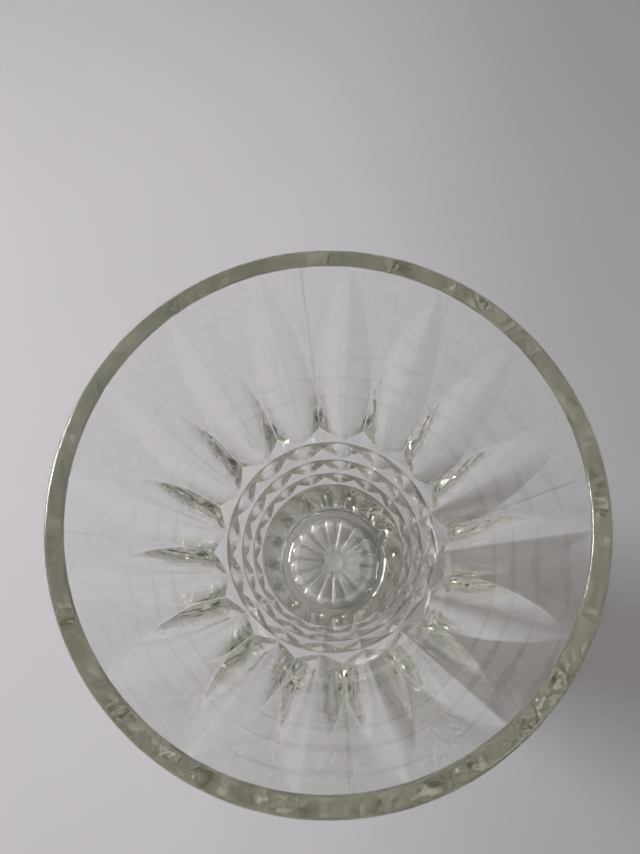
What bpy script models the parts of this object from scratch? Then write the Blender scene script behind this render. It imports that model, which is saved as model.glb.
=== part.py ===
"""A pressed-glass flower vase, modelled as the one piece of glass that it is.

The frame: +Z up, the origin at the centre of the foot's standing ring, metres throughout.
The inside is a smooth flared hollow. The outside is cut by sixteen V-shaped flutes. High up the
flutes come to points below the rim, so each one reads as a long leaf. Lower down three bands of
four-sided pyramids are left between four ring grooves. Below the last groove the wall thickens
down to a plain foot. The underside is hollowed a little and carries a sixteen-rayed star.
"""

import math

import bmesh
import bpy
from mathutils import Matrix

# Driving dimensions, in metres.
HEIGHT = 0.200
MOUTH_RADIUS = 0.060
RIM_WIDTH = 0.0043
FLOOR_THICKNESS = 0.008
FLOOR_RADIUS = 0.0246
FLOOR_CORNER_RADIUS = 0.005
FLARE_POWER = 1.5

# The flutes: sixteen of them, each with two sides that lean out from the flute's bottom. The lean
# grows less from halfway up to the mouth.
FLUTES = 16
FLUTE_LEAN_LOW = math.radians(15.2)
FLUTE_LEAN_MOUTH = math.radians(10.2)
LEAN_CHANGE_HEIGHT = 0.100
FLUTE_WALL_TOP = 0.0046
FLUTE_WALL_FOOT = 0.0040
FLUTE_FOOT_HEIGHT = 0.0085
FLUTE_RUNOUT = 0.0035
ENVELOPE_SLOPE = 0.171

# The ring grooves, from the highest to the lowest, with the bands of pyramids between them.
RING_HEIGHTS = (0.1045, 0.0880, 0.0730, 0.0590)
RING_EXTRA_DEPTH = 0.00025
BASE_THICKENING = 0.09
TOP_TRIANGLE_HEIGHT = 0.0095
PYRAMID_TIP_SHARE = 0.47
TIP_CLEARANCE = 0.0003

# The foot, the hollow under it and the star in that hollow.
FOOT_RADIUS = 0.0365
FOOT_HEEL_RADIUS = 0.0016
STANDING_RING_INNER_RADIUS = 0.0250
HOLLOW_RADIUS = 0.0240
HOLLOW_DEPTH = 0.0012
STAR_RAYS = 16
STAR_TIP_RADIUS = 0.0223
STAR_START_RADIUS = 0.0050
STAR_RAY_HALF_WIDTH = 0.0029
STAR_RAY_DEPTH = 0.0016
STAR_RAY_DROP = 0.0002
STAR_BOSS_RADIUS = 0.0050
STAR_BOSS_DROP = 0.0007

# The small edges that are eased on the rim.
RIM_OUTER_EASE = 0.0009
RIM_INNER_EASE = 0.0004

# How far the fluted cutting solid stands above the rim.
CORE_OVERRUN = 0.006

# How finely the solid is faceted.
TURN_STEPS = 64
INNER_WALL_LEVELS = 11
FLUTE_LEVELS = 12
CORNER_STEPS = 4
EASE_STEPS = 2
RAY_TURN_STEPS = 12
RAY_NOSE_STEPS = 4
BOSS_STEPS = 3

SECTOR = 2 * math.pi / FLUTES
WALL_RISE = HEIGHT - FLOOR_THICKNESS
INNER_MOUTH_RADIUS = MOUTH_RADIUS - RIM_WIDTH


def inner_radius(z):
    """Radius of the smooth inside wall at height z."""
    share = max(0.0, (z - FLOOR_THICKNESS) / WALL_RISE)
    return FLOOR_RADIUS + (INNER_MOUTH_RADIUS - FLOOR_RADIUS) * share ** FLARE_POWER


def valley_radius(z):
    """Radius of the bottoms of the flutes at height z: the inside wall plus the wall left there.

    Below the last ring groove the wall grows thicker, so that its outside goes almost straight down.
    """
    share = min(1.0, max(0.0, z / HEIGHT))
    wall = FLUTE_WALL_FOOT + (FLUTE_WALL_TOP - FLUTE_WALL_FOOT) * share
    wall += BASE_THICKENING * max(0.0, RING_HEIGHTS[-1] - z)
    return inner_radius(z) + wall


def flute_lean(z):
    """How far a flute's sides lean out from its bottom at height z."""
    share = min(1.0, max(0.0, (z - LEAN_CHANGE_HEIGHT) / (HEIGHT - LEAN_CHANGE_HEIGHT)))
    return FLUTE_LEAN_LOW + (FLUTE_LEAN_MOUTH - FLUTE_LEAN_LOW) * share


def ridge_ratio(z):
    """A ridge's radius divided by the radius of the flutes' bottoms at height z."""
    lean = flute_lean(z)
    return math.cos(lean) / math.cos(lean + SECTOR / 2)


def ridge_radius(z):
    """Radius of the sharp ridges where two neighbouring flutes meet."""
    return ridge_ratio(z) * valley_radius(z)


def envelope_radius(z):
    """Radius of the plain cone that the flutes are cut into."""
    return MOUTH_RADIUS - ENVELOPE_SLOPE * (HEIGHT - z)


def arc(centre, radius, start_degrees, end_degrees, steps):
    """Points of an arc in the profile's plane, both ends included."""
    points = []
    for index in range(steps + 1):
        angle = math.radians(start_degrees + (end_degrees - start_degrees) * index / steps)
        points.append((centre[0] + radius * math.cos(angle), centre[1] + radius * math.sin(angle)))
    return points


def inside_profile():
    """The inside from the middle of the floor to the mouth, with a rounded corner at the floor."""
    start = FLOOR_THICKNESS + FLOOR_CORNER_RADIUS
    corner_centre = (inner_radius(start) - FLOOR_CORNER_RADIUS, start)
    points = [(0.0, FLOOR_THICKNESS)]
    points += arc(corner_centre, FLOOR_CORNER_RADIUS, -90, 0, CORNER_STEPS)
    top = HEIGHT - RIM_INNER_EASE
    for level in range(1, INNER_WALL_LEVELS + 1):
        z = start + (top - start) * level / INNER_WALL_LEVELS
        points.append((inner_radius(z), z))
    return points


def rim_profile():
    """The flat ground rim, with its outer edge eased more than its inner edge."""
    points = [(INNER_MOUTH_RADIUS + RIM_INNER_EASE, HEIGHT)]
    centre = (MOUTH_RADIUS - RIM_OUTER_EASE, HEIGHT - RIM_OUTER_EASE)
    points += arc(centre, RIM_OUTER_EASE, 90, 0, EASE_STEPS)
    return points


def ring_profile():
    """The outer side from the envelope down through the ring grooves to the foot.

    Each groove's bottom lies just inside the flutes' bottoms. Above it a face leans out to the
    pyramids' tips, and below it a steeper face leans out to the next row of tips.
    """
    tips = [RING_HEIGHTS[0] + TOP_TRIANGLE_HEIGHT]
    for upper, lower in zip(RING_HEIGHTS, RING_HEIGHTS[1:]):
        tips.append(lower + (upper - lower) * PYRAMID_TIP_SHARE)
    last_drop = (RING_HEIGHTS[-2] - RING_HEIGHTS[-1]) * (1 - PYRAMID_TIP_SHARE)
    first_tip = tips[0]
    groove = (valley_radius(RING_HEIGHTS[0]) - RING_EXTRA_DEPTH, RING_HEIGHTS[0])
    tip_radius = ridge_radius(first_tip)
    slope = (tip_radius - groove[0]) / (first_tip - groove[1])
    start_z = (envelope_radius(0.0) - groove[0] + slope * groove[1]) / (slope - ENVELOPE_SLOPE)
    points = [(envelope_radius(start_z), start_z), groove]
    for ring, tip_z in zip(RING_HEIGHTS[1:], tips[1:]):
        points.append((ridge_radius(tip_z) + TIP_CLEARANCE, tip_z))
        points.append((valley_radius(ring) - RING_EXTRA_DEPTH, ring))
    end_z = RING_HEIGHTS[-1] - last_drop
    points.append((ridge_radius(end_z) + TIP_CLEARANCE, end_z))
    return points


def foot_profile():
    """The foot band, its rounded heel, the standing ring, and the hollow with a boss in its middle."""
    heel_centre = (FOOT_RADIUS - FOOT_HEEL_RADIUS, FOOT_HEEL_RADIUS)
    points = [(FOOT_RADIUS, FLUTE_FOOT_HEIGHT)]
    points += arc(heel_centre, FOOT_HEEL_RADIUS, 0, -90, CORNER_STEPS)
    points.append((STANDING_RING_INNER_RADIUS, 0.0))
    points.append((HOLLOW_RADIUS, HOLLOW_DEPTH))
    for step in range(BOSS_STEPS + 1):
        share = 1 - step / BOSS_STEPS
        drop = STAR_BOSS_DROP * (1 - share ** 2)
        points.append((STAR_BOSS_RADIUS * share, HOLLOW_DEPTH - drop))
    return points


def new_collection(name):
    """A collection linked to the scene."""
    collection = bpy.data.collections.new(name)
    bpy.context.scene.collection.children.link(collection)
    return collection


def turned_object(name, profile, steps, collection):
    """A profile in the XZ plane turned about Z with a Screw modifier."""
    mesh = bpy.data.meshes.new(name)
    vertices = [(radius, 0.0, z) for radius, z in profile]
    edges = [(index, index + 1) for index in range(len(profile) - 1)]
    mesh.from_pydata(vertices, edges, [])
    turned = bpy.data.objects.new(name, mesh)
    collection.objects.link(turned)
    screw = turned.modifiers.new("Turn", "SCREW")
    screw.axis = "Z"
    screw.angle = 2 * math.pi
    screw.steps = steps
    screw.render_steps = steps
    screw.use_merge_vertices = True
    screw.merge_threshold = 0.00001
    screw.use_smooth_shade = False
    return turned


def bake_modifiers(target):
    """Replaces an object's mesh by its evaluated one, so that its vertices can be edited."""
    bpy.context.view_layer.update()
    evaluated = target.evaluated_get(bpy.context.evaluated_depsgraph_get())
    mesh = bpy.data.meshes.new_from_object(evaluated)
    target.modifiers.clear()
    target.data = mesh
    return target


def hide_cutter(cutter):
    """Marks an object as a cutting tool."""
    cutter.hide_render = True
    cutter.display_type = "WIRE"


def cut(target, cutter, operation):
    """A Boolean modifier on the target."""
    boolean = target.modifiers.new(cutter.name, "BOOLEAN")
    boolean.operation = operation
    boolean.solver = "EXACT"
    boolean.object = cutter


def make_fluted_core(collection):
    """The solid whose side faces are the flutes' sides.

    It is turned with one column for each flute bottom and one for each ridge. The ridge columns are
    then moved outward. Above the leaves' points and below the flutes it is larger than the vase.
    """
    top = HEIGHT + CORE_OVERRUN
    profile = [(0.0, top)]
    for level in range(FLUTE_LEVELS + 1):
        z = top + (FLUTE_FOOT_HEIGHT + FLUTE_RUNOUT - top) * level / FLUTE_LEVELS
        profile.append((valley_radius(z), z))
    runout_radius = FOOT_RADIUS + FLUTE_RUNOUT
    profile.append((runout_radius, FLUTE_FOOT_HEIGHT - FLUTE_RUNOUT / 2))
    profile.append((runout_radius, -FLUTE_FOOT_HEIGHT))
    profile.append((0.0, -FLUTE_FOOT_HEIGHT))
    core = bake_modifiers(turned_object("fluted_core", profile, 2 * FLUTES, collection))
    for vertex in core.data.vertices:
        column = round(math.atan2(vertex.co.y, vertex.co.x) / (SECTOR / 2))
        if column % 2:
            ratio = ridge_ratio(vertex.co.z)
            vertex.co.x *= ratio
            vertex.co.y *= ratio
    hide_cutter(core)
    return core


def ray_profile():
    """The half outline of one ray of the star, along X: a long taper and a rounded outer end."""
    nose_centre = STAR_TIP_RADIUS - STAR_RAY_HALF_WIDTH
    points = arc((nose_centre, 0.0), STAR_RAY_HALF_WIDTH, 0, 90, RAY_NOSE_STEPS)
    points.append((STAR_START_RADIUS, 0.0))
    return points


def make_star_cutter(collection):
    """Sixteen long drops lying in the ceiling of the hollow, each between two flutes."""
    mesh = bpy.data.meshes.new("star_rays")
    cutter = bpy.data.objects.new("star_rays", mesh)
    collection.objects.link(cutter)
    outline = ray_profile()
    whole = bmesh.new()
    for ray in range(STAR_RAYS):
        drop = bmesh.new()
        loop = [drop.verts.new((x, half_width, 0.0)) for x, half_width in outline]
        edges = [drop.edges.new(pair) for pair in zip(loop, loop[1:])]
        bmesh.ops.spin(
            drop,
            geom=loop + edges,
            cent=(0.0, 0.0, 0.0),
            axis=(1.0, 0.0, 0.0),
            angle=2 * math.pi,
            steps=RAY_TURN_STEPS,
            use_merge=True,
        )
        bmesh.ops.remove_doubles(drop, verts=drop.verts, dist=0.00001)
        flatten = Matrix.Diagonal((1.0, 1.0, STAR_RAY_DEPTH / STAR_RAY_HALF_WIDTH, 1.0))
        turn = Matrix.Rotation((ray + 0.5) * 2 * math.pi / STAR_RAYS, 4, "Z")
        lift = Matrix.Translation((0.0, 0.0, HOLLOW_DEPTH - STAR_RAY_DROP))
        bmesh.ops.transform(drop, matrix=lift @ turn @ flatten, verts=drop.verts)
        bmesh.ops.recalc_face_normals(drop, faces=drop.faces)
        one_ray = bpy.data.meshes.new("one_ray")
        drop.to_mesh(one_ray)
        drop.free()
        whole.from_mesh(one_ray)
        bpy.data.meshes.remove(one_ray)
    whole.to_mesh(mesh)
    whole.free()
    hide_cutter(cutter)
    return cutter


def glass_material():
    """Clear glass with the faint green that thick soda glass has."""
    material = bpy.data.materials.new("vase_glass")
    material.use_nodes = True
    shader = material.node_tree.nodes["Principled BSDF"]
    shader.inputs["Base Color"].default_value = (0.93, 0.96, 0.92, 1.0)
    shader.inputs["Metallic"].default_value = 0.0
    shader.inputs["Roughness"].default_value = 0.03
    shader.inputs["IOR"].default_value = 1.5
    shader.inputs["Transmission Weight"].default_value = 1.0
    return material


def make_vase(parts, cutters):
    """The vase: one turned piece of glass, fluted outside and starred underneath."""
    profile = inside_profile() + rim_profile() + ring_profile() + foot_profile()
    vase = turned_object("vase", profile, TURN_STEPS, parts)
    vase.data.materials.append(glass_material())
    cut(vase, make_fluted_core(cutters), "INTERSECT")
    cut(vase, make_star_cutter(cutters), "DIFFERENCE")
    return vase


def main():
    """Clears the scene and builds the vase in its own collection."""
    for old in list(bpy.data.objects):
        bpy.data.objects.remove(old)
    parts = new_collection("glass_vase")
    cutters = new_collection("cutters")
    make_vase(parts, cutters)


main()
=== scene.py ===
"""The looks of the pressed-glass vase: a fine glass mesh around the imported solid, and a plain studio."""

import math

import bpy
import numpy as np
from mathutils import Matrix, Vector


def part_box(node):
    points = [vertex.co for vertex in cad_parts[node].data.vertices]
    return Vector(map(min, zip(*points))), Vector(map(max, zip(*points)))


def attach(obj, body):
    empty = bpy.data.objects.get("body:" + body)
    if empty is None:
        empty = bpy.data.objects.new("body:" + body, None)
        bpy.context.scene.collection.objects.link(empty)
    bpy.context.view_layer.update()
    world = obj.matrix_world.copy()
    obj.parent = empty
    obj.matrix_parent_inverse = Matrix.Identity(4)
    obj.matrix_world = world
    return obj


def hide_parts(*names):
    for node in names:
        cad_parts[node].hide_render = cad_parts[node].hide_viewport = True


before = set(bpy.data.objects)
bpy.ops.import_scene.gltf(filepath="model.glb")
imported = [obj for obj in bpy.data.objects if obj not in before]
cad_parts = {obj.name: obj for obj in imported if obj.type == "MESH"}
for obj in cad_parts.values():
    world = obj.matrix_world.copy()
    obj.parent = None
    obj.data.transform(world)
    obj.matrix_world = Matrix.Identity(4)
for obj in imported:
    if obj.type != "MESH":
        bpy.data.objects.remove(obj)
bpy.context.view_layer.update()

NODE_LOW, NODE_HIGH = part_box("vase")

# The design's sizes are in millimetres; MM is one of them at the frame's own scale, in metres.
HEIGHT = NODE_HIGH.z - NODE_LOW.z
MM = HEIGHT / 200.0
MOUTH_RADIUS = (NODE_HIGH.x - NODE_LOW.x) / 2
RIM_WIDTH = 4.3 * MM
FLOOR_THICKNESS = 8.0 * MM
FLOOR_RADIUS = 24.6 * MM
FLOOR_CORNER_RADIUS = 5.0 * MM
FLARE_POWER = 1.5

FLUTES = 16
FLUTE_LEAN_LOW = math.radians(15.2)
FLUTE_LEAN_MOUTH = math.radians(10.2)
LEAN_CHANGE_HEIGHT = 100.0 * MM
FLUTE_WALL_TOP = 4.6 * MM
FLUTE_WALL_FOOT = 4.0 * MM
FLUTE_FOOT_HEIGHT = 8.5 * MM
FLUTE_RUNOUT = 3.5 * MM
ENVELOPE_SLOPE = 0.171

RING_HEIGHTS = [104.5 * MM, 88.0 * MM, 73.0 * MM, 59.0 * MM]
RING_EXTRA_DEPTH = 0.25 * MM
BASE_THICKENING = 0.09
TOP_TRIANGLE_HEIGHT = 9.5 * MM
PYRAMID_TIP_SHARE = 0.47

FOOT_RADIUS = 36.5 * MM
FOOT_HEEL_RADIUS = 1.6 * MM
FOOT_BAND_HEIGHT = 2.6 * MM
STANDING_RING_INNER_RADIUS = 25.0 * MM
HOLLOW_RADIUS = 24.0 * MM
HOLLOW_DEPTH = 1.2 * MM
STAR_TIP_RADIUS = 22.3 * MM
STAR_START_RADIUS = 5.0 * MM
STAR_NOSE = 4.6 * MM
STAR_RAY_ANGLE = math.radians(9.3)
STAR_RAY_DEPTH = 1.4 * MM
STAR_BOSS_RADIUS = 5.0 * MM
STAR_BOSS_DROP = 0.7 * MM

RIM_OUTER_EASE = 0.9 * MM
RIM_INNER_EASE = 0.4 * MM

# Edges pressed in a mould are a little round: these are the widths over which they turn.
EDGE_SOFTNESS = 0.10 * MM
VALLEY_SOFTNESS = math.radians(0.35)
GROOVE_SOFTNESS = 0.30 * MM
SEAM_HEIGHT = 0.30 * MM
FAINT_SEAM_HEIGHT = 0.10 * MM
SEAM_ANGLE = math.radians(0.28)
EDGE_HOLD = 0.15 * MM
FLUTE_END_REACH = 7.0 * MM
FLUTE_END_SPAN = 1.5 * FLUTE_RUNOUT

# Pressed glass is never quite even: these are the sizes of its waves, and where they fade out.
WAVE_SIZE = 0.012 * MM
WAVE_FADE_TOP = 15.0 * MM
WAVE_FADE_FOOT = 20.0 * MM
FLOOR_RIPPLE = 0.03 * MM
WALL_RIPPLE = 0.015 * MM
WALL_RIPPLE_FADE = 12.0 * MM
RIM_RIPPLE = 0.012 * MM
RIM_DISH = 0.02 * MM

SECTOR = 2 * math.pi / FLUTES
HALF_SECTOR = SECTOR / 2
INNER_MOUTH_RADIUS = MOUTH_RADIUS - RIM_WIDTH

# How finely half a flute is divided, on the flute's flat side and on what is left beside it.
SIDE_COLUMNS = 6
LAND_COLUMNS = 6

# The first and the last ring stay this far from the axis, and a point closes each.
POLE_RADIUS = 0.35 * MM

# How many rings of points each part of the outline gets, in the order they are made.
FLOOR_ROWS = 9
CORNER_ROWS = 7
WALL_ROWS = 41
INNER_EASE_ROWS = 3
RIM_SHARES = (0.04, 0.2, 0.4, 0.6, 0.8, 0.96, 1.0)
OUTER_EASE_ROWS = 5
LEAF_ROWS = 56
BAND_ROWS = 8
BASE_ROWS = 12
FLUTE_END_ROWS = 10
HEEL_ROWS = 7
HOLLOW_EDGE_ROWS = 3
RAY_NOSE_ROWS = 10
RAY_ROWS = 13

# Half a flute's division where no edge crosses it, and where one comes close to the flute's bottom.
MIDDLE_CREASE = HALF_SECTOR / 2
LEAST_CREASE = HALF_SECTOR * 0.06

# The glass.
CLEAR_WHITE = (0.99, 0.99, 0.985, 1.0)
GLASS_IOR = 1.51
TINT_COLOUR = (0.665, 0.68, 0.49, 1.0)
TINT_DENSITY = 8.2
SMEAR_SCALE = 38.0
SMEAR_SPAN = (0.45, 0.75)
SMEAR_ROUGHNESS = (0.004, 0.05)
RIM_GROUND_HEIGHTS = (HEIGHT - 0.4 * MM, HEIGHT - 0.1 * MM)
RIM_ROUGHNESS = 0.20
RIM_PATCH_SCALE = 70.0
RIM_PATCH_SPAN = (0.35, 0.62)
STAR_ROUGHNESS = 0.25
STAR_FROST = 0.20
STAR_MASK_RADII = (STAR_TIP_RADIUS + 0.3 * MM, STAR_TIP_RADIUS)
STAR_MASK_CUT = (0.02 * MM, 0.2 * MM)
STAR_MASK_HEIGHTS = (HOLLOW_DEPTH + 3.5 * MM, HOLLOW_DEPTH + 3.0 * MM)
GRAIN_SCALE = 300.0
GRAIN_STRETCH = (1.0, 1.0, 0.35)
GRAIN_DEPTH = 0.05 * MM
SHADOW_FACE_ON = (0.875, 0.87, 0.86, 1.0)
SHADOW_EDGE_ON = (0.45, 0.45, 0.42, 1.0)
SHADOW_SPAN = (0.25, 0.95)

# The matte floor: pale near the vase, with painted shade making it a little darker on the right, away from
# the window where the vase's shadow falls, and a painted glow in the horizon's colour far away.
FLOOR_SIZE = 60.0
FLOOR_DROP = 0.0002
FLOOR_DARK_GRAIN = (0.66, 0.64, 0.67, 1.0)
FLOOR_LIGHT_GRAIN = (0.72, 0.70, 0.73, 1.0)
FLOOR_GRAIN_SCALE = 9.0
FLOOR_ROUGHNESS = 0.55
SWEEP_START = 0.3
SWEEP_END = 1.1
# Painted shade: where the floor's colour darkens towards the right, and how much.
PAINTED_SHADE_START = -0.06
PAINTED_SHADE_END = 0.16
PAINTED_SHADE_SHARE = 0.76

# The studio's glow, brighter on the window's side, and darker overhead than at the horizon.
HORIZON_COLOUR = (0.44, 0.43, 0.425, 1.0)
HORIZON_SHARE = 0.10
MIDDLE_COLOUR = (0.13, 0.122, 0.115, 1.0)
MIDDLE_SHARE = 0.34
OVERHEAD_COLOUR = (0.030, 0.028, 0.026, 1.0)
OVERHEAD_SHARE = 0.80
WINDOW_SIDE_GLOW = 1.35
FAR_SIDE_GLOW = 0.65

# The camera looks down into the mouth from a little in front of the axis.
CAMERA_ABOVE_RIM = 2.240 * MOUTH_RADIUS
CAMERA_SIDE = 0.054 * MOUTH_RADIUS
CAMERA_FRONT = -0.355 * MOUTH_RADIUS
CAMERA_LEAN_SIDE = math.radians(-1.78)
CAMERA_LEAN_FRONT = math.radians(15.64)
CAMERA_TURN = math.radians(6.0)
CAMERA_LENS = 26.98
CAMERA_SENSOR = 36.0
CAMERA_NEAREST = 0.01

# Enough bounces for light to find its way through thick glass.
CLEAR_BOUNCES = 32
MIRROR_BOUNCES = 16


def cosine_steps(start, end, count):
    """count + 1 values from start to end, closer together at both ends."""
    share = (1 - np.cos(np.linspace(0, math.pi, count + 1))) / 2
    return start + (end - start) * share


def quarter_turn(count):
    """count angles from 0 to a quarter turn, without the 0."""
    return np.linspace(0, math.pi / 2, count + 1)[1:]


def soft_minimum(first, second, width):
    """The smaller of two values, with the corner between them rounded."""
    overlap = np.maximum(width - np.abs(first - second), 0) / width
    return np.minimum(first, second) - overlap * overlap * width / 4


def inner_radius(z):
    """Radius of the smooth inside wall."""
    share = np.clip((z - FLOOR_THICKNESS) / (HEIGHT - FLOOR_THICKNESS), 0, None)
    return FLOOR_RADIUS + (INNER_MOUTH_RADIUS - FLOOR_RADIUS) * share ** FLARE_POWER


def valley_radius(z):
    """Radius of the bottoms of the flutes."""
    share = np.clip(z / HEIGHT, 0, 1)
    wall = FLUTE_WALL_FOOT + (FLUTE_WALL_TOP - FLUTE_WALL_FOOT) * share
    return inner_radius(z) + wall + BASE_THICKENING * np.clip(RING_HEIGHTS[-1] - z, 0, None)


def flute_lean(z):
    """How far a flute's flat sides turn out from the wall: less and less towards the mouth."""
    share = np.clip((z - LEAN_CHANGE_HEIGHT) / (HEIGHT - LEAN_CHANGE_HEIGHT), 0, 1)
    return FLUTE_LEAN_LOW + (FLUTE_LEAN_MOUTH - FLUTE_LEAN_LOW) * share


def ridge_radius(z):
    """Radius of the sharp ridges where two neighbouring flutes meet."""
    lean = flute_lean(z)
    return valley_radius(z) * np.cos(lean) / np.cos(lean + HALF_SECTOR)


def envelope_radius(z):
    """Radius of the cone that the flutes are cut into."""
    return MOUTH_RADIUS - ENVELOPE_SLOPE * (HEIGHT - z)


def pyramid_tip_heights():
    """Heights of the pyramids' tips: above the first groove, then one in each band."""
    tips = [RING_HEIGHTS[0] + TOP_TRIANGLE_HEIGHT]
    for upper, lower in zip(RING_HEIGHTS, RING_HEIGHTS[1:]):
        tips.append(lower + (upper - lower) * PYRAMID_TIP_SHARE)
    tips.append(RING_HEIGHTS[-1] - (RING_HEIGHTS[-2] - RING_HEIGHTS[-1]) * (1 - PYRAMID_TIP_SHARE))
    return tips


TIPS = pyramid_tip_heights()


def turned_radius(z):
    """Radius of the envelope with the ring grooves cut in it, before the flutes are cut."""
    radius = envelope_radius(z)
    for ring, above, below in zip(RING_HEIGHTS, TIPS, TIPS[1:]):
        bottom = valley_radius(ring) - RING_EXTRA_DEPTH
        slope_above = (ridge_radius(above) - bottom) / (above - ring)
        slope_below = (ridge_radius(below) - bottom) / (ring - below)
        distance = np.sqrt((z - ring) ** 2 + GROOVE_SOFTNESS ** 2) - GROOVE_SOFTNESS
        slope = np.where(z > ring, slope_above, slope_below)
        radius = soft_minimum(radius, bottom + slope * distance, EDGE_SOFTNESS)
    last_tip = ridge_radius(TIPS[-1])
    share = (TIPS[-1] - z) / (TIPS[-1] - FLUTE_FOOT_HEIGHT)
    return np.where(z < TIPS[-1], last_tip + (FOOT_RADIUS - last_tip) * share, radius)


def flute_radius(angle, z):
    """Distance from the axis to a flute's flat side; angle 0 is the flute's bottom."""
    soft_angle = np.sqrt(angle ** 2 + VALLEY_SOFTNESS ** 2) - VALLEY_SOFTNESS
    lean = flute_lean(z)
    return valley_radius(z) * np.cos(lean) / np.cos(lean + soft_angle)


def flute_end(z):
    """How far the flutes' sides are moved out near the foot, so that the flutes end there."""
    share = np.clip((FLUTE_FOOT_HEIGHT + FLUTE_RUNOUT - z) / FLUTE_END_SPAN, 0, None)
    return share * FLUTE_END_REACH


def outer_radius(angle, z):
    """The outside: the flutes and the ring grooves together. angle is within one flute."""
    here = flute_radius(angle, z)
    neighbour = flute_radius(SECTOR - angle, z)
    fluted = soft_minimum(here, neighbour, EDGE_SOFTNESS) + flute_end(z)
    turned = turned_radius(z)
    radius = soft_minimum(fluted, turned, EDGE_SOFTNESS)
    return np.minimum(radius, np.where(z < TIPS[-1], FOOT_RADIUS, np.inf))


def waviness(angle, height):
    """The shallow waves that the mould leaves on the outside: a few sines that never line up."""
    h = height / MM
    total = np.sin(17 * angle + 0.21 * h) + np.sin(13 * angle - 0.27 * h + 1.3)
    total += 0.8 * np.sin(31 * angle + 0.17 * h + 0.7) + 0.7 * np.sin(7 * angle - 0.33 * h + 2.2)
    return WAVE_SIZE * total / 3.5


def crease_angle(z):
    """Where, within half a flute, the flat side meets what the flute is cut into."""
    surface = turned_radius(z)
    if z < TIPS[-1]:
        surface = min(surface, FOOT_RADIUS)
    lean = flute_lean(z)
    side = (valley_radius(z) + flute_end(z)) * math.cos(lean)
    if side >= surface:
        return 0.0
    return math.acos(side / surface) - lean


def columns(crease):
    """The angles of one flute's columns, from its bottom round to the next flute's bottom."""
    crease = min(max(crease, LEAST_CREASE), HALF_SECTOR - LEAST_CREASE)
    side = cosine_steps(0, crease, SIDE_COLUMNS)
    land = cosine_steps(crease, HALF_SECTOR - SEAM_ANGLE, LAND_COLUMNS - 1)
    half = np.concatenate([side, land[1:], [HALF_SECTOR]])
    return np.concatenate([half, SECTOR - half[-2:0:-1]])


def ripple(angle, height, size):
    """The slight unevenness of pressed glass: a few sines that never line up."""
    h = height / MM
    total = np.sin(5 * angle + 0.061 * h + 0.4) + np.sin(9 * angle - 0.093 * h + 1.9)
    total += 0.7 * np.sin(14 * angle + 0.17 * h + 2.6) + 0.6 * np.sin(23 * angle - 0.21 * h + 0.9)
    return size * total / 3.3


class Rows:
    """Rings of points, each with the same number of columns, from the middle of the inside floor
    up to the rim, down the outside and in to the middle of the underside."""

    def __init__(self):
        self.points = []

    def add(self, crease, radius_of, height_of):
        """One ring. radius_of and height_of take the angle in the flute and the full angle."""
        local = columns(crease)
        local_all = np.tile(local, FLUTES)
        full = (local[None, :] + SECTOR * np.arange(FLUTES)[:, None]).ravel()
        radius = radius_of(local_all, full) + 0 * full
        height = height_of(local_all, full) + 0 * full
        ring = np.stack([radius * np.cos(full), radius * np.sin(full), height], axis=1)
        self.points.append(ring)

    def plain(self, radius, height, crease=MIDDLE_CREASE):
        """One plain round ring."""
        self.add(crease, lambda a, f: radius, lambda a, f: height)


def add_inside(rows):
    """The floor, its rounded corner and the inside wall."""
    corner_z = FLOOR_THICKNESS + FLOOR_CORNER_RADIUS
    corner_r = float(inner_radius(corner_z)) - FLOOR_CORNER_RADIUS
    for radius in np.linspace(POLE_RADIUS, corner_r, FLOOR_ROWS):
        rows.add(
            MIDDLE_CREASE,
            lambda a, f, r=radius: r,
            lambda a, f, r=radius: FLOOR_THICKNESS + ripple(f, r, FLOOR_RIPPLE) * r / corner_r,
        )
    for turn in quarter_turn(CORNER_ROWS):
        radius = corner_r + FLOOR_CORNER_RADIUS * math.sin(turn)
        height = corner_z - FLOOR_CORNER_RADIUS * math.cos(turn)
        rows.add(
            MIDDLE_CREASE,
            lambda a, f, r=radius: r,
            lambda a, f, z=height, t=turn: z + ripple(f, corner_r, FLOOR_RIPPLE) * math.cos(t),
        )
    top = HEIGHT - RIM_INNER_EASE
    for height in list(np.linspace(corner_z, top - EDGE_HOLD, WALL_ROWS + 1)[1:]) + [top]:
        fade = min(1.0, (height - corner_z) / WALL_RIPPLE_FADE, (top - height) / WALL_RIPPLE_FADE)
        rows.add(
            MIDDLE_CREASE,
            lambda a, f, z=height, s=fade: inner_radius(z) + s * ripple(f, z, WALL_RIPPLE),
            lambda a, f, z=height: z,
        )


def add_rim(rows):
    """The flat ground rim between its two eased edges."""
    for turn in quarter_turn(INNER_EASE_ROWS):
        radius = INNER_MOUTH_RADIUS + RIM_INNER_EASE * (1 - math.cos(turn))
        height = HEIGHT - RIM_INNER_EASE * (1 - math.sin(turn))
        rows.plain(radius, height)
    inner = INNER_MOUTH_RADIUS + RIM_INNER_EASE
    outer = MOUTH_RADIUS - RIM_OUTER_EASE
    for share in RIM_SHARES:
        bell = math.sin(math.pi * share)
        rows.add(
            MIDDLE_CREASE + (LEAST_CREASE - MIDDLE_CREASE) * share,
            lambda a, f, s=share: inner + (outer - inner) * s,
            lambda a, f, b=bell: HEIGHT - b * (RIM_DISH + ripple(2 * f, 0.0, RIM_RIPPLE)),
        )
    for turn in quarter_turn(OUTER_EASE_ROWS):
        radius = outer + RIM_OUTER_EASE * math.sin(turn)
        height = HEIGHT - RIM_OUTER_EASE * (1 - math.cos(turn))
        rows.plain(radius, height, LEAST_CREASE)


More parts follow.
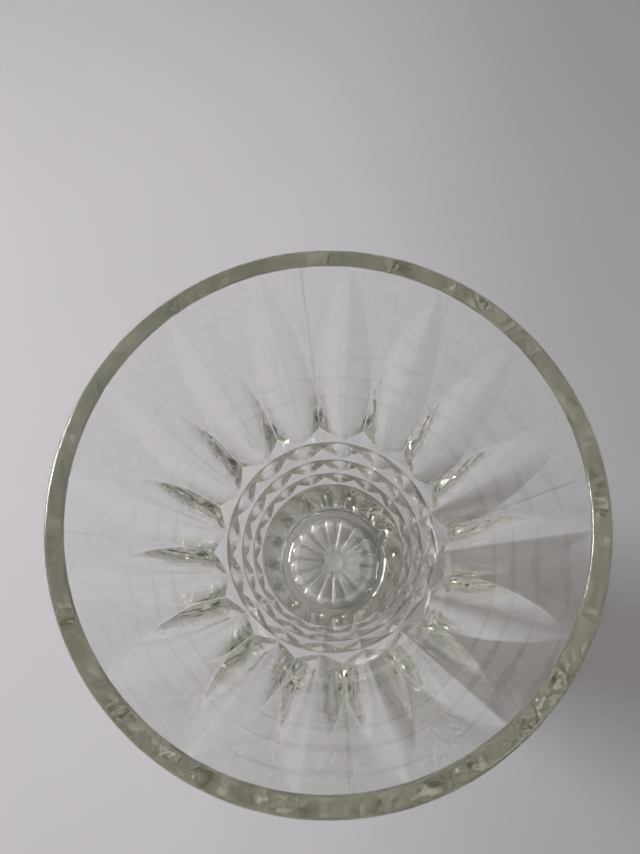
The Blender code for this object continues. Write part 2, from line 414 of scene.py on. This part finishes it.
def outside_heights():
    """Heights of the rings down the outside, closer together where edges cross."""
    heights = list(cosine_steps(HEIGHT - RIM_OUTER_EASE - 2 * EDGE_HOLD, TIPS[0], LEAF_ROWS))
    for upper, ring, lower in zip(TIPS, RING_HEIGHTS, TIPS[1:]):
        heights += list(cosine_steps(upper, ring, BAND_ROWS)[1:])
        heights += list(cosine_steps(ring, lower, BAND_ROWS)[1:])
    flute_end_top = FLUTE_FOOT_HEIGHT + FLUTE_RUNOUT
    heights += list(cosine_steps(TIPS[-1], flute_end_top, BASE_ROWS)[1:])
    heights += list(cosine_steps(flute_end_top, flute_end_top - FLUTE_END_SPAN, FLUTE_END_ROWS)[1:])
    return heights


def seam(local, full, z):
    """The fine raised lines where the four parts of the mould met, on every fourth ridge."""
    on_ridge = np.abs(local - HALF_SECTOR) < SEAM_ANGLE / 2
    flute = np.floor(full / SECTOR)
    quarter = np.mod(flute, FLUTES / 4) == 0
    height = np.where(flute == FLUTES / 4, SEAM_HEIGHT, FAINT_SEAM_HEIGHT)
    return np.where(on_ridge & quarter, height, 0.0) * (z > TIPS[0])


def outside_point(local, full, z):
    """The outside's radius with its seams and waves."""
    fade = np.clip((HEIGHT - z) / WAVE_FADE_TOP, 0, 1) * np.clip(z / WAVE_FADE_FOOT, 0, 1)
    plain = outer_radius(np.minimum(local, SECTOR - local), z)
    return plain + seam(local, full, z) - fade * (WAVE_SIZE + waviness(full, z))


def add_outside(rows):
    """The outside from under the rim to the top of the foot band."""
    for height in outside_heights():
        rows.add(
            crease_angle(height),
            lambda a, f, z=height: outside_point(a, f, z),
            lambda a, f, z=height: z,
        )


def add_foot(rows):
    """The foot band, its round heel and the flat standing ring."""
    rows.plain(FOOT_RADIUS, FOOT_BAND_HEIGHT)
    for turn in np.linspace(0, math.pi / 2, HEEL_ROWS):
        radius = FOOT_RADIUS - FOOT_HEEL_RADIUS * (1 - math.cos(turn))
        height = FOOT_HEEL_RADIUS * (1 - math.sin(turn))
        rows.plain(radius, height)
    rows.plain(FOOT_RADIUS - FOOT_HEEL_RADIUS - EDGE_HOLD, 0.0)
    rows.plain(STANDING_RING_INNER_RADIUS + EDGE_HOLD, 0.0)
    rows.plain(STANDING_RING_INNER_RADIUS, 0.0)
    width = STANDING_RING_INNER_RADIUS - HOLLOW_RADIUS
    for turn in quarter_turn(HOLLOW_EDGE_ROWS):
        radius = STANDING_RING_INNER_RADIUS - width * math.sin(turn)
        rows.plain(radius, HOLLOW_DEPTH * (1 - math.cos(turn)))


def add_star(rows):
    """The hollow's ceiling with its sixteen rays, in to the middle."""
    nose_start = STAR_TIP_RADIUS - STAR_NOSE
    radii = [HOLLOW_RADIUS - EDGE_HOLD, STAR_TIP_RADIUS + EDGE_HOLD]
    radii += list(np.linspace(STAR_TIP_RADIUS, nose_start, RAY_NOSE_ROWS))
    radii += list(np.linspace(nose_start, POLE_RADIUS, RAY_ROWS + 1)[1:])
    for radius in radii:
        size = 1.0
        boss = 0.0
        if radius > nose_start:
            size = math.sqrt(max(0.0, 1 - ((radius - nose_start) / STAR_NOSE) ** 2))
        half_angle = STAR_RAY_ANGLE * size
        growth = (radius - STAR_START_RADIUS) / (nose_start - STAR_START_RADIUS)
        depth = STAR_RAY_DEPTH * size * min(1.0, max(0.0, growth))
        if radius < STAR_BOSS_RADIUS:
            boss = -STAR_BOSS_DROP * (1 - (radius / STAR_BOSS_RADIUS) ** 2)
        rows.add(
            HALF_SECTOR - half_angle,
            lambda a, f, r=radius: r,
            lambda a, f, w=half_angle, d=depth, b=boss: star_height(a, w, d) + b,
        )


def star_height(local, half_angle, depth):
    """Height of the ceiling in one row of the star."""
    if half_angle <= 0:
        return HOLLOW_DEPTH
    across = np.abs(local - HALF_SECTOR) / half_angle
    return HOLLOW_DEPTH + depth * np.sqrt(np.clip(1 - across ** 2, 0, None))


def mesh_from_rows(name, rings):
    """One closed mesh from the rings, with a point at the middle of the floor and of the underside."""
    count = len(rings[0])
    points = np.concatenate(rings)
    first_pole = [0.0, 0.0, float(rings[0][:, 2].mean())]
    last_pole = [0.0, 0.0, float(rings[-1][:, 2].mean())]
    vertices = points.tolist() + [first_pole, last_pole]
    column = np.arange(count)
    following = (column + 1) % count
    faces = []
    for row in range(len(rings) - 1):
        here = row * count
        below = here + count
        quads = np.stack([here + column, below + column, below + following, here + following], 1)
        faces += quads.tolist()
    top = len(points)
    last = (len(rings) - 1) * count
    faces += np.stack([np.full(count, top), column, following], 1).tolist()
    faces += np.stack([np.full(count, top + 1), last + following, last + column], 1).tolist()
    mesh = bpy.data.meshes.new(name)
    mesh.from_pydata(vertices, [], faces)
    mesh.validate()
    mesh.shade_smooth()
    return mesh


def make_vase():
    """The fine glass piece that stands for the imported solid."""
    rows = Rows()
    add_inside(rows)
    add_rim(rows)
    outside_start = len(rows.points)
    add_outside(rows)
    outside_end = len(rows.points)
    add_foot(rows)
    add_star(rows)
    mesh = mesh_from_rows("vase_glass", rows.points)
    moulded = np.zeros(len(mesh.vertices))
    count = FLUTES * 2 * (SIDE_COLUMNS + LAND_COLUMNS)
    moulded[outside_start * count:outside_end * count] = 1.0
    attribute = mesh.attributes.new("moulded", "FLOAT", "POINT")
    attribute.data.foreach_set("value", moulded)
    vase = bpy.data.objects.new("vase_glass", mesh)
    bpy.context.scene.collection.objects.link(vase)
    return vase


def ramp_node(nodes, links, value, span, result=(0.0, 1.0)):
    """The first result at the span's start and the second at its end, straight between them."""
    ramp = nodes.new("ShaderNodeMapRange")
    ramp.inputs["From Min"].default_value = span[0]
    ramp.inputs["From Max"].default_value = span[1]
    ramp.inputs["To Min"].default_value = result[0]
    ramp.inputs["To Max"].default_value = result[1]
    links.new(value, ramp.inputs["Value"])
    return ramp.outputs["Result"]


def math_node(nodes, links, operation, first, second):
    """A Math node; second may be a plain number."""
    node = nodes.new("ShaderNodeMath")
    node.operation = operation
    links.new(first, node.inputs[0])
    if isinstance(second, (int, float)):
        node.inputs[1].default_value = second
    else:
        links.new(second, node.inputs[1])
    return node.outputs["Value"]


def vector_node(nodes, links, operation, vector):
    """A Vector Math node with one vector going in."""
    node = nodes.new("ShaderNodeVectorMath")
    node.operation = operation
    links.new(vector, node.inputs[0])
    return node


def noise_node(nodes, links, vector, scale, detail):
    """A noise texture's value."""
    noise = nodes.new("ShaderNodeTexNoise")
    noise.inputs["Scale"].default_value = scale
    noise.inputs["Detail"].default_value = detail
    links.new(vector, noise.inputs["Vector"])
    return noise.outputs["Fac"]


def split_node(nodes, links, vector):
    """The outputs X, Y and Z of a vector."""
    split = nodes.new("ShaderNodeSeparateXYZ")
    links.new(vector, split.inputs["Vector"])
    return split.outputs


def rim_blur(nodes, links, place, split):
    """The roughness of the ground rim, in patches; 0 everywhere else."""
    on_rim = ramp_node(nodes, links, split["Z"], RIM_GROUND_HEIGHTS, (0.0, RIM_ROUGHNESS))
    patches = noise_node(nodes, links, place, RIM_PATCH_SCALE, 2.0)
    uneven = ramp_node(nodes, links, patches, RIM_PATCH_SPAN)
    return math_node(nodes, links, "MULTIPLY", on_rim, uneven)


def star_mask(nodes, links, split):
    """1 on the star's rays and boss, under the floor; 0 everywhere else."""
    flat = nodes.new("ShaderNodeCombineXYZ")
    links.new(split["X"], flat.inputs["X"])
    links.new(split["Y"], flat.inputs["Y"])
    radius = vector_node(nodes, links, "LENGTH", flat.outputs["Vector"]).outputs["Value"]
    inward = ramp_node(nodes, links, radius, STAR_MASK_RADII)
    off_ceiling = math_node(nodes, links, "SUBTRACT", split["Z"], HOLLOW_DEPTH)
    off_ceiling = math_node(nodes, links, "ABSOLUTE", off_ceiling, 0.0)
    cut = ramp_node(nodes, links, off_ceiling, STAR_MASK_CUT)
    below = ramp_node(nodes, links, split["Z"], STAR_MASK_HEIGHTS)
    on_rays = math_node(nodes, links, "MULTIPLY", inward, cut)
    return math_node(nodes, links, "MULTIPLY", on_rays, below)


def mould_grain(nodes, links, place):
    """The normal of the outside's fine grain, which only the moulded rows have."""
    moulded = nodes.new("ShaderNodeAttribute")
    moulded.attribute_name = "moulded"
    stretch = nodes.new("ShaderNodeMapping")
    stretch.inputs["Scale"].default_value = GRAIN_STRETCH
    links.new(place, stretch.inputs["Vector"])
    grain = noise_node(nodes, links, stretch.outputs["Vector"], GRAIN_SCALE, 2.0)
    bump = nodes.new("ShaderNodeBump")
    bump.inputs["Distance"].default_value = GRAIN_DEPTH
    links.new(grain, bump.inputs["Height"])
    links.new(moulded.outputs["Fac"], bump.inputs["Strength"])
    return bump.outputs["Normal"]


def shadow_glass(nodes, links):
    """What the lamps' rays meet: clear, and darker where the glass is seen edge on."""
    clear = nodes.new("ShaderNodeBsdfTransparent")
    facing = nodes.new("ShaderNodeLayerWeight")
    facing.inputs["Blend"].default_value = 0.5
    thinning = nodes.new("ShaderNodeValToRGB")
    thinning.color_ramp.elements[0].color = SHADOW_FACE_ON
    thinning.color_ramp.elements[0].position = SHADOW_SPAN[0]
    thinning.color_ramp.elements[1].color = SHADOW_EDGE_ON
    thinning.color_ramp.elements[1].position = SHADOW_SPAN[1]
    links.new(facing.outputs["Facing"], thinning.inputs["Fac"])
    links.new(thinning.outputs["Color"], clear.inputs["Color"])
    return clear.outputs["BSDF"]


def glass_material():
    """Clear soda glass: slightly green through its thickness, and clear to the lamps' shadow rays."""
    material = bpy.data.materials.new("vase_glass")
    material.use_nodes = True
    nodes = material.node_tree.nodes
    links = material.node_tree.links
    nodes.clear()
    output = nodes.new("ShaderNodeOutputMaterial")
    glass = nodes.new("ShaderNodeBsdfPrincipled")
    glass.inputs["Base Color"].default_value = CLEAR_WHITE
    glass.inputs["IOR"].default_value = GLASS_IOR
    place = nodes.new("ShaderNodeTexCoord").outputs["Object"]
    split = split_node(nodes, links, place)
    smears = noise_node(nodes, links, place, SMEAR_SCALE, 4.0)
    smears = ramp_node(nodes, links, smears, SMEAR_SPAN, SMEAR_ROUGHNESS)
    on_star = star_mask(nodes, links, split)
    star_blur = math_node(nodes, links, "MULTIPLY", on_star, STAR_ROUGHNESS)
    roughness = math_node(nodes, links, "MAXIMUM", smears, rim_blur(nodes, links, place, split))
    roughness = math_node(nodes, links, "MAXIMUM", roughness, star_blur)
    links.new(roughness, glass.inputs["Roughness"])
    frost = math_node(nodes, links, "MULTIPLY", on_star, -STAR_FROST)
    links.new(math_node(nodes, links, "ADD", frost, 1.0), glass.inputs["Transmission Weight"])
    links.new(mould_grain(nodes, links, place), glass.inputs["Normal"])
    path = nodes.new("ShaderNodeLightPath").outputs
    either = math_node(nodes, links, "MAXIMUM", path["Is Shadow Ray"], path["Is Diffuse Ray"])
    mix = nodes.new("ShaderNodeMixShader")
    links.new(either, mix.inputs["Fac"])
    links.new(glass.outputs["BSDF"], mix.inputs[1])
    links.new(shadow_glass(nodes, links), mix.inputs[2])
    links.new(mix.outputs["Shader"], output.inputs["Surface"])
    tint = nodes.new("ShaderNodeVolumeAbsorption")
    tint.inputs["Color"].default_value = TINT_COLOUR
    tint.inputs["Density"].default_value = TINT_DENSITY
    links.new(tint.outputs["Volume"], output.inputs["Volume"])
    return material


def side_strength(nodes, links, across):
    """The studio is brighter towards the window, which is on the left."""
    return ramp_node(nodes, links, across, (-1.0, 1.0), (WINDOW_SIDE_GLOW, FAR_SIDE_GLOW))


def floor_material():
    """A pale, slightly lilac floor with a soft mottle and painted shade on the right, which far away fades
    into a painted glow in the horizon's colour.
    """
    material = bpy.data.materials.new("pale_floor")
    material.use_nodes = True
    nodes = material.node_tree.nodes
    links = material.node_tree.links
    shader = nodes["Principled BSDF"]
    shader.inputs["Roughness"].default_value = FLOOR_ROUGHNESS
    shader.inputs["Specular IOR Level"].default_value = 0.0
    place = nodes.new("ShaderNodeTexCoord").outputs["Object"]
    paint = nodes.new("ShaderNodeValToRGB")
    paint.color_ramp.elements[0].color = FLOOR_DARK_GRAIN
    paint.color_ramp.elements[1].color = FLOOR_LIGHT_GRAIN
    links.new(noise_node(nodes, links, place, FLOOR_GRAIN_SCALE, 6.0), paint.inputs["Fac"])
    distance = vector_node(nodes, links, "LENGTH", place).outputs["Value"]
    # The floor's colour darkens with distance, so that far away the painted glow takes over.
    near = ramp_node(nodes, links, distance, (SWEEP_END, SWEEP_START))
    # Painted shade: the floor's colour darkens towards +x, away from the window, where the vase's shadow
    # falls.
    painted_shade = nodes.new("ShaderNodeMapRange")
    painted_shade.interpolation_type = "SMOOTHSTEP"
    painted_shade.inputs["From Min"].default_value = PAINTED_SHADE_START
    painted_shade.inputs["From Max"].default_value = PAINTED_SHADE_END
    painted_shade.inputs["To Min"].default_value = 1.0
    painted_shade.inputs["To Max"].default_value = PAINTED_SHADE_SHARE
    links.new(split_node(nodes, links, place)["X"], painted_shade.inputs["Value"])
    fading = vector_node(nodes, links, "SCALE", paint.outputs["Color"])
    shade = math_node(nodes, links, "MULTIPLY", near, painted_shade.outputs["Result"])
    links.new(shade, fading.inputs["Scale"])
    links.new(fading.outputs["Vector"], shader.inputs["Base Color"])
    # Painted glow: far from the vase the floor emits the horizon's colour, brighter on the window's side,
    # though it is no lamp.
    far = ramp_node(nodes, links, distance, (SWEEP_START, SWEEP_END))
    direction = vector_node(nodes, links, "NORMALIZE", place).outputs["Vector"]
    side = side_strength(nodes, links, split_node(nodes, links, direction)["X"])
    shader.inputs["Emission Color"].default_value = HORIZON_COLOUR
    links.new(math_node(nodes, links, "MULTIPLY", far, side), shader.inputs["Emission Strength"])
    return material


def make_floor():
    """A wide pale floor, a hair below the vase's foot."""
    bpy.ops.mesh.primitive_plane_add(size=FLOOR_SIZE, location=(0.0, 0.0, -FLOOR_DROP))
    floor = bpy.context.active_object
    floor.name = "floor"
    floor.data.materials.append(floor_material())


def area_light(name, location, target, size, power, colour, spread=180.0):
    """A soft rectangular lamp; spread is the angle of its beam in degrees."""
    lamp = bpy.data.lights.new(name, "AREA")
    lamp.shape = "RECTANGLE"
    lamp.size = size[0]
    lamp.size_y = size[1]
    lamp.energy = power
    lamp.color = colour
    lamp.spread = math.radians(spread)
    holder = bpy.data.objects.new(name, lamp)
    bpy.context.scene.collection.objects.link(holder)
    holder.location = location
    holder.rotation_euler = (Vector(target) - Vector(location)).to_track_quat("-Z", "Y").to_euler()


def make_lights():
    """A window-like softbox from the left, a weak fill, and a small lamp overhead."""
    area_light(
        "window",
        location=(-1.50, 0.28, 0.88),
        target=(0.0, 0.0, 0.1),
        size=(0.64, 0.57),
        power=4.4,
        colour=(1.0, 0.99, 0.985),
        spread=56.0,
    )
    area_light(
        "fill",
        location=(0.8, -0.6, 1.2),
        target=(0.0, 0.0, 0.1),
        size=(0.35, 0.35),
        power=1.5,
        colour=(0.96, 0.97, 1.0),
    )
    area_light(
        "ceiling",
        location=(-0.001, 0.078, 1.2),
        target=(0.0, 0.0, 0.0),
        size=(0.085, 0.085),
        power=0.055,
        colour=(1.0, 1.0, 1.0),
    )


def make_world():
    """The studio's glow, darker overhead than at the horizon."""
    world = bpy.data.worlds.new("studio")
    world.use_nodes = True
    bpy.context.scene.world = world
    nodes = world.node_tree.nodes
    links = world.node_tree.links
    background = nodes["Background"]
    split = split_node(nodes, links, nodes.new("ShaderNodeTexCoord").outputs["Generated"])
    glow = nodes.new("ShaderNodeValToRGB")
    glow.color_ramp.elements[0].color = HORIZON_COLOUR
    glow.color_ramp.elements[0].position = HORIZON_SHARE
    glow.color_ramp.elements[1].color = OVERHEAD_COLOUR
    glow.color_ramp.elements[1].position = OVERHEAD_SHARE
    glow.color_ramp.elements.new(MIDDLE_SHARE).color = MIDDLE_COLOUR
    links.new(split["Z"], glow.inputs["Fac"])
    links.new(glow.outputs["Color"], background.inputs["Color"])
    links.new(side_strength(nodes, links, split["X"]), background.inputs["Strength"])


def make_camera():
    """The camera, turned about the vase's axis so that the flutes lie as they should."""
    camera_data = bpy.data.cameras.new("camera")
    camera_data.lens = CAMERA_LENS
    camera_data.sensor_width = CAMERA_SENSOR
    camera_data.clip_start = CAMERA_NEAREST
    camera = bpy.data.objects.new("camera", camera_data)
    bpy.context.scene.collection.objects.link(camera)
    forward = Vector((math.tan(CAMERA_LEAN_SIDE), math.tan(CAMERA_LEAN_FRONT), -1.0)).normalized()
    right = forward.cross(Vector((0.0, 1.0, 0.0))).normalized()
    up = right.cross(forward)
    place = Matrix((right, up, -forward)).transposed().to_4x4()
    place.translation = Vector((CAMERA_SIDE, CAMERA_FRONT, HEIGHT + CAMERA_ABOVE_RIM))
    camera.matrix_world = Matrix.Rotation(CAMERA_TURN, 4, "Z") @ place
    bpy.context.scene.camera = camera


def set_light_paths():
    """How far light is followed. The lamps' rays pass the glass by its shadow look instead."""
    cycles = bpy.context.scene.cycles
    cycles.max_bounces = CLEAR_BOUNCES
    cycles.transmission_bounces = CLEAR_BOUNCES
    cycles.glossy_bounces = MIRROR_BOUNCES
    cycles.transparent_max_bounces = CLEAR_BOUNCES
    cycles.caustics_reflective = False
    cycles.caustics_refractive = False
    bpy.context.scene.view_settings.view_transform = "Standard"


vase = make_vase()
vase.data.materials.append(glass_material())
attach(vase, "root")
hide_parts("vase")
make_floor()
make_lights()
make_world()
make_camera()
set_light_paths()
